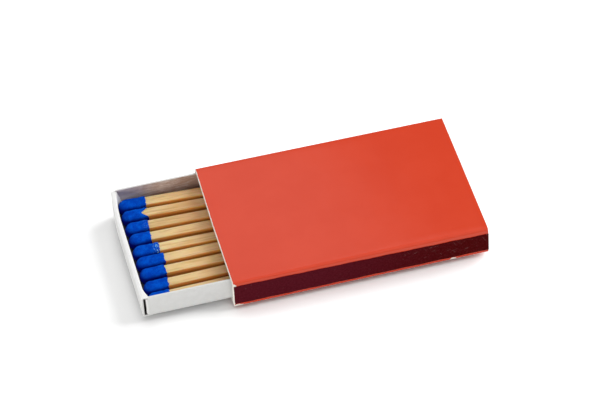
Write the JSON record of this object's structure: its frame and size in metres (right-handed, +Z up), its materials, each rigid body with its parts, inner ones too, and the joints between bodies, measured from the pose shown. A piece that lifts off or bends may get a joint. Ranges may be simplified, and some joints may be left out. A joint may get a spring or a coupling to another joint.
{
  "type": "matchbox",
  "caption": "Slim card matchbox: a varnished sleeve with a striking strip on each side, and a folded tray that slides through it, holding a layer of loose wooden matches.",
  "frame": {"origin": "middle of the sleeve's underside, the face that the box rests on", "axes": "+X along the slide, with the tray standing open towards -X; -Y is the front, the side with the glued seam; +Z up"},
  "size_m": [0.0712, 0.0342, 0.0065],
  "materials": {
    "sleeve_card": "satin",
    "glue": "matte",
    "striking_compound": "matte",
    "tray_card": "matte",
    "match_wood": "matte",
    "head_compound": "matte"
  },
  "bodies": {
    "sleeve": {"sleeve": "sleeve_card", "seam_glue": "glue", "striker_front": "striking_compound", "striker_back": "striking_compound"},
    "tray": {"tray": "tray_card"},
    "match_1": {"stick_1": "match_wood", "head_1": "head_compound"},
    "match_2": {"stick_2": "match_wood", "head_2": "head_compound"},
    "match_3": {"stick_3": "match_wood", "head_3": "head_compound"},
    "match_4": {"stick_4": "match_wood", "head_4": "head_compound"},
    "match_5": {"stick_5": "match_wood", "head_5": "head_compound"},
    "match_6": {"stick_6": "match_wood", "head_6": "head_compound"},
    "match_7": {"stick_7": "match_wood", "head_7": "head_compound"},
    "match_8": {"stick_8": "match_wood", "head_8": "head_compound"},
    "match_9": {"stick_9": "match_wood", "head_9": "head_compound"}
  },
  "joints": [
    {"name": "tray_slide", "type": "slide", "parent": "sleeve", "child": "tray", "axis": [1, 0, 0], "range_m": [-0.0241, 0.0609]},
    {"name": "match_1_slide", "type": "slide", "parent": "tray", "child": "match_1", "axis": [0.9996, 0.0272, 0], "range_m": [0, 0.0028]},
    {"name": "match_2_slide", "type": "slide", "parent": "tray", "child": "match_2", "axis": [0.9998, 0.0212, 0], "range_m": [0, 0.0028]},
    {"name": "match_3_slide", "type": "slide", "parent": "tray", "child": "match_3", "axis": [1, 0.0077, 0], "range_m": [0, 0.0028]},
    {"name": "match_4_slide", "type": "slide", "parent": "tray", "child": "match_4", "axis": [1, 0.0017, 0], "range_m": [0, 0.0028]},
    {"name": "match_5_slide", "type": "slide", "parent": "tray", "child": "match_5", "axis": [1, -0.0025, 0], "range_m": [0, 0.0028]},
    {"name": "match_6_slide", "type": "slide", "parent": "tray", "child": "match_6", "axis": [0.9999, -0.0141, 0], "range_m": [0, 0.0028]},
    {"name": "match_7_slide", "type": "slide", "parent": "tray", "child": "match_7", "axis": [0.9998, -0.0201, 0], "range_m": [0, 0.0028]},
    {"name": "match_8_slide", "type": "slide", "parent": "tray", "child": "match_8", "axis": [0.9995, -0.0317, 0], "range_m": [0, 0.0028]},
    {"name": "match_9_slide", "type": "slide", "parent": "tray", "child": "match_9", "axis": [0.9993, -0.0377, 0], "range_m": [0, 0.0028]}
  ]
}
